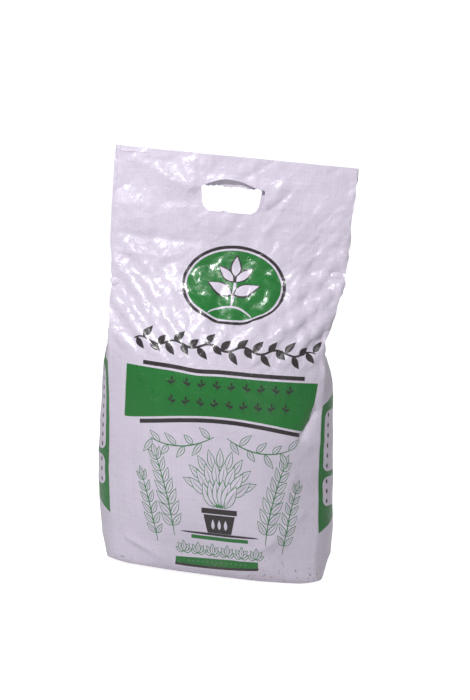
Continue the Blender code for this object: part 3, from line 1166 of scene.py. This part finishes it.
def match(row, front_slot, back_slot, points):
    """A back row turned round so that its points face the front slot's."""
    across = points[front_slot, 0] - FRONT_MIDDLE
    facing = BACK_MIDDLE - points[back_slot, 0]
    best = None
    for order in (1, -1):
        for shift in range(len(row)):
            turned = np.roll(np.arange(len(row))[::order], shift)
            off = np.abs(facing[turned] - across) + np.abs(
                points[back_slot, 1][turned] - points[front_slot, 1])
            if best is None or off.sum() < best[0]:
                best = (off.sum(), turned)
    return [row[i] for i in best[1]]


def make_mesh(build):
    used = sorted({i for face in build.faces for i in face})
    new = {old: i for i, old in enumerate(used)}
    mesh = bpy.data.meshes.new("compost_sack")
    mesh.from_pydata([build.places[i] for i in used], [],
                     [tuple(new[i] for i in face) for face in build.faces])
    mesh.polygons.foreach_set("material_index", build.inks)
    mesh.polygons.foreach_set("use_smooth", [True] * len(build.faces))
    layer = mesh.uv_layers.new(name="OFBake")
    flat = [(u / BAKE_SCALE + 0.003, 0.997 - v / BAKE_SCALE) for maps in build.maps for u, v in maps]
    layer.data.foreach_set("uv", np.array(flat).ravel())
    work = bmesh.new()
    work.from_mesh(mesh)
    bmesh.ops.recalc_face_normals(work, faces=work.faces[:])
    if work.calc_volume(signed=True) < 0.0:
        bmesh.ops.reverse_faces(work, faces=work.faces[:])
    work.to_mesh(mesh)
    work.free()
    mesh.set_sharp_from_angle(angle=math.radians(55.0))
    return mesh


# Materials

BARE_FILM = (0.665, 0.605, 0.725)
GREEN_INK = (0.010, 0.175, 0.028)
DARK_INK = (0.030, 0.023, 0.027)
LINE_INK = (0.060, 0.215, 0.085)
TAPE = 0.0026


class Nodes:
    """Short calls for one material's nodes."""

    def __init__(self, name):
        self.material = bpy.data.materials.new(name)
        self.material.use_nodes = True
        self.tree = self.material.node_tree
        self.shader = self.tree.nodes["Principled BSDF"]

    def put(self, kind, inputs=(), **settings):
        node = self.tree.nodes.new(kind)
        for name, value in settings.items():
            setattr(node, name, value)
        for socket, value in dict(inputs).items():
            self.feed(value, node.inputs[socket])
        return node

    def feed(self, value, socket):
        if isinstance(value, bpy.types.NodeSocket):
            self.tree.links.new(value, socket)
        else:
            socket.default_value = value

    def math(self, operation, a, b=0.0, c=0.0):
        return self.put("ShaderNodeMath", {0: a, 1: b, 2: c}, operation=operation).outputs[0]

    def scaled(self, vector, scale):
        return self.put("ShaderNodeVectorMath", {0: vector, 1: scale}, operation="MULTIPLY").outputs[0]

    def noise(self, vector, scale, detail=2.0, distortion=0.0):
        inputs = {"Vector": vector, "Scale": scale, "Detail": detail, "Distortion": distortion}
        return self.put("ShaderNodeTexNoise", inputs).outputs["Fac"]

    def between(self, value, low, high, start=0.0, end=1.0):
        inputs = {"Value": value, "From Min": low, "From Max": high, "To Min": start, "To Max": end}
        return self.put("ShaderNodeMapRange", inputs, interpolation_type="SMOOTHSTEP").outputs[0]

    def mix(self, factor, a, b):
        node = self.put("ShaderNodeMix", data_type="RGBA")
        self.feed(factor, node.inputs[0])
        for value, socket in ((a, node.inputs[6]), (b, node.inputs[7])):
            self.feed(value if isinstance(value, bpy.types.NodeSocket) else (*value, 1.0), socket)
        return node.outputs[2]

    def finish(self, colour, roughness, height, depth):
        self.feed(colour, self.shader.inputs["Base Color"])
        self.feed(roughness, self.shader.inputs["Roughness"])
        bump = self.put("ShaderNodeBump", {"Height": height, "Distance": depth, "Strength": 1.0})
        self.feed(bump.outputs[0], self.shader.inputs["Normal"])
        return self.material


def weave(nodes, place):
    """Plain weave of flat tapes under the laminate: height, and which tape lies on top."""
    axes = nodes.put("ShaderNodeSeparateXYZ", {0: place}).outputs
    across, down = (nodes.math("DIVIDE", axes[k], TAPE) for k in (0, 1))
    cells = nodes.math("ADD", nodes.math("FLOOR", across), nodes.math("FLOOR", down))
    over = nodes.math("PINGPONG", cells, 1.0)
    profiles = []
    for turns in (across, down):
        wave = nodes.math("SINE", nodes.math("MULTIPLY", turns, math.pi))
        profiles.append(nodes.math("POWER", nodes.math("ABSOLUTE", wave), 0.5))
    height = nodes.math("ADD", nodes.math("MULTIPLY", profiles[0], over),
                        nodes.math("MULTIPLY", profiles[1], nodes.math("SUBTRACT", 1.0, over)))
    return height, over


def film(name, ink, printed):
    """Glossy laminated fabric, bare or printed with one ink."""
    nodes = Nodes(name)
    bake = nodes.put("ShaderNodeUVMap", uv_map="OFBake").outputs[0]
    place = nodes.scaled(bake, (BAKE_SCALE, BAKE_SCALE, 0.0))
    solid = nodes.put("ShaderNodeTexCoord").outputs["Object"]
    tapes, over = weave(nodes, place)
    upright = nodes.noise(nodes.scaled(place, (380.0, 6.0, 0.0)), 1.0, 1.0)
    level = nodes.noise(nodes.scaled(place, (6.0, 380.0, 0.0)), 1.0, 1.0)
    streaks = nodes.math("ADD", nodes.math("MULTIPLY", upright, over),
                         nodes.math("MULTIPLY", level, nodes.math("SUBTRACT", 1.0, over)))
    cloudy = nodes.noise(place, 11.0, 3.0)
    crinkle = nodes.noise(place, 85.0, 3.0, 0.6)
    ridged = nodes.math("ABSOLUTE", nodes.math("SUBTRACT", crinkle, 0.5))
    shade = nodes.math("ADD", nodes.math("MULTIPLY", nodes.math("SUBTRACT", cloudy, 0.5), 0.5),
                       nodes.math("MULTIPLY", nodes.math("SUBTRACT", streaks, 0.5), 0.55))
    tone = nodes.between(shade, -0.30, 0.30)
    light = tuple(min(1.0, c * 1.07) for c in ink)
    deep = tuple(c * (0.80 if printed else 0.90) for c in ink)
    colour = nodes.mix(tone, deep, light)
    if printed:
        worn = nodes.between(nodes.noise(place, 420.0, 2.0), 0.66, 0.74)
        rubbed = nodes.math("MULTIPLY", worn, nodes.between(nodes.noise(place, 20.0, 2.0), 0.52, 0.66))
        colour = nodes.mix(nodes.math("MULTIPLY", rubbed, 0.55), colour, BARE_FILM)
    height_up = nodes.put("ShaderNodeSeparateXYZ", {0: solid}).outputs[2]
    low = nodes.between(height_up, 0.060, 0.004)
    specks = nodes.between(nodes.noise(solid, 210.0, 3.0), 0.63, 0.68)
    patch = nodes.between(nodes.noise(solid, 17.0, 2.0), 0.46, 0.60)
    dirt = nodes.math("MULTIPLY", nodes.math("MULTIPLY", specks, patch), low)
    colour = nodes.mix(nodes.math("MULTIPLY", dirt, 0.75), colour, (0.085, 0.060, 0.045))
    dusty = nodes.math("MULTIPLY", low, nodes.between(nodes.noise(solid, 30.0, 3.0), 0.40, 0.75))
    colour = nodes.mix(nodes.math("MULTIPLY", dusty, 0.16), colour, (0.30, 0.24, 0.21))
    gloss = nodes.between(nodes.noise(place, 60.0, 3.0), 0.25, 0.75, 0.27, 0.40)
    roughness = nodes.math("ADD", gloss, nodes.math("MULTIPLY", dirt, 0.4))
    height = nodes.math("ADD", nodes.math("MULTIPLY", ridged, 1.0), nodes.math("MULTIPLY", tapes, 0.055))
    nodes.shader.inputs["Specular IOR Level"].default_value = 0.5
    nodes.shader.inputs["Coat Weight"].default_value = 0.30
    nodes.shader.inputs["Coat Roughness"].default_value = 0.16
    return nodes.finish(colour, roughness, height, 0.0016)


def cotton(name, tone):
    """Soft twisted sewing thread with a fuzzy sheen, and painted shade in the grooves of its twist."""
    nodes = Nodes(name)
    solid = nodes.put("ShaderNodeTexCoord").outputs["Object"]
    twist = nodes.put("ShaderNodeTexWave", {"Vector": solid, "Scale": 260.0, "Distortion": 1.5,
                                            "Detail": 2.0}, bands_direction="DIAGONAL").outputs["Fac"]
    fibres = nodes.noise(nodes.scaled(solid, (300.0, 2600.0, 2600.0)), 1.0, 2.0)
    grime = nodes.noise(solid, 40.0, 3.0)
    # Painted shade: the twist's grooves, which the bump sinks, are painted darker than its raised bands
    colour = nodes.mix(twist, tuple(0.72 * c for c in tone), tone)
    colour = nodes.mix(nodes.between(grime, 0.45, 0.75, 0.0, 0.5), colour, (0.36, 0.31, 0.27))
    nodes.shader.inputs["Sheen Weight"].default_value = 0.35
    height = nodes.math("ADD", twist, nodes.math("MULTIPLY", fibres, 0.4))
    return nodes.finish(colour, nodes.between(fibres, 0.2, 0.8, 0.78, 0.92), height, 0.00012)


def build_bag():
    bag = bpy.data.objects.new("compost_sack", build_sleeve())
    bpy.context.scene.collection.objects.link(bag)
    for name, ink in (("bare_film", BARE_FILM), ("green_print", GREEN_INK), ("dark_print", DARK_INK),
                      ("line_print", LINE_INK)):
        bag.data.materials.append(film(name, ink, name != "bare_film"))
    return bag


bag = build_bag()
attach(bag, "root")
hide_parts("bag")

for name, tone in (("needle_thread", (0.80, 0.78, 0.75)), ("looper_thread", (0.74, 0.72, 0.69))):
    thread = bpy.data.objects[name]
    for slot in thread.material_slots:
        slot.material = cotton(name + "_cotton", tone)


# Floor, light and camera

FLOOR_WIDTH = 12.0
FLOOR_FRONT, FLOOR_BACK = -5.0, 3.0
SWEEP_RADIUS, SWEEP_HEIGHT = 1.6, 6.0
FLOOR_LIGHT, FLOOR_SEEN = 0.08, 0.85
WORLD_LIGHT = 0.30
# name, place, aim, size and power
LIGHTS = (
    ("key", (-0.42, -0.95, 1.25), (0.0, 0.0, 0.42), 0.18, 14.0),
    ("front_fill", (1.3, -2.4, 0.9), (0.0, 0.0, 0.3), 1.4, 3.0),
    ("back_fill", (1.1, 2.0, 1.4), (0.0, 0.0, 0.3), 1.2, 12.0),
)
CAMERA_AIM = (0.0142, 0.0, 0.3242)
CAMERA_AZIMUTH, CAMERA_ELEVATION, CAMERA_ROLL = 2.0, 9.0, 5.0
CAMERA_DISTANCE, CAMERA_LENS = 2.6, 91.8


def build_floor():
    """A plain pale sheet that sweeps up behind the bag."""
    profile = [(FLOOR_FRONT, 0.0)]
    profile += [(FLOOR_BACK + SWEEP_RADIUS * math.sin(t), SWEEP_RADIUS * (1.0 - math.cos(t)))
                for t in np.linspace(0.0, 0.5 * math.pi, 24)]
    profile.append((FLOOR_BACK + SWEEP_RADIUS, SWEEP_HEIGHT))
    half, count = 0.5 * FLOOR_WIDTH, len(profile)
    mesh = bpy.data.meshes.new("floor")
    mesh.from_pydata([(side * half, y, z) for side in (-1, 1) for y, z in profile], [],
                     [(i, i + count, i + count + 1, i + 1) for i in range(count - 1)])
    mesh.polygons.foreach_set("use_smooth", [True] * len(mesh.polygons))
    floor = bpy.data.objects.new("floor", mesh)
    bpy.context.scene.collection.objects.link(floor)
    nodes = Nodes("pale_floor")
    solid = nodes.put("ShaderNodeTexCoord").outputs["Object"]
    grain = nodes.noise(solid, 60.0, 3.0)
    nodes.shader.inputs["Emission Color"].default_value = (1.0, 1.0, 1.0, 1.0)
    seen = nodes.put("ShaderNodeLightPath").outputs["Is Camera Ray"]
    strength = nodes.between(seen, 0.0, 1.0, FLOOR_LIGHT, FLOOR_SEEN)
    nodes.feed(strength, nodes.shader.inputs["Emission Strength"])
    mesh.materials.append(nodes.finish(nodes.mix(grain, (0.72, 0.72, 0.72), (0.76, 0.76, 0.76)),
                                       nodes.between(grain, 0.3, 0.7, 0.55, 0.65), grain, 0.0001))
    return floor


def area_light(name, place, aim, size, power):
    light = bpy.data.lights.new(name, "AREA")
    light.shape = "DISK"
    light.size = size
    light.energy = power
    lamp = bpy.data.objects.new(name, light)
    lamp.location = place
    lamp.rotation_euler = (Vector(aim) - Vector(place)).to_track_quat("-Z", "Y").to_euler()
    bpy.context.scene.collection.objects.link(lamp)


def build_world():
    """Pale surroundings: softer as light than as the backdrop that is seen."""
    world = bpy.data.worlds.new("studio")
    bpy.context.scene.world = world
    world.use_nodes = True
    tree = world.node_tree
    ground = tree.nodes["Background"]
    path = tree.nodes.new("ShaderNodeLightPath")
    strength = tree.nodes.new("ShaderNodeMapRange")
    strength.inputs["To Min"].default_value = WORLD_LIGHT
    strength.inputs["To Max"].default_value = 1.0
    tree.links.new(path.outputs["Is Camera Ray"], strength.inputs["Value"])
    ground.inputs["Color"].default_value = (1.0, 1.0, 1.0, 1.0)
    tree.links.new(strength.outputs[0], ground.inputs["Strength"])


def build_camera():
    camera = bpy.data.cameras.new("camera")
    camera.lens = CAMERA_LENS
    camera.sensor_width = 36.0
    camera.clip_end = 60.0
    eye = bpy.data.objects.new("camera", camera)
    turn, lift = math.radians(CAMERA_AZIMUTH), math.radians(CAMERA_ELEVATION)
    back = Vector((math.sin(turn) * math.cos(lift), -math.cos(turn) * math.cos(lift), math.sin(lift)))
    eye.location = Vector(CAMERA_AIM) + CAMERA_DISTANCE * back
    facing = (-back).to_track_quat("-Z", "Y").to_matrix().to_4x4()
    roll = Matrix.Rotation(math.radians(CAMERA_ROLL), 4, "Z")
    eye.matrix_world = Matrix.Translation(eye.location) @ facing @ roll
    bpy.context.scene.collection.objects.link(eye)
    bpy.context.scene.camera = eye


build_floor()
build_world()
for light in LIGHTS:
    area_light(*light)
build_camera()
bpy.context.scene.view_settings.view_transform = "Standard"
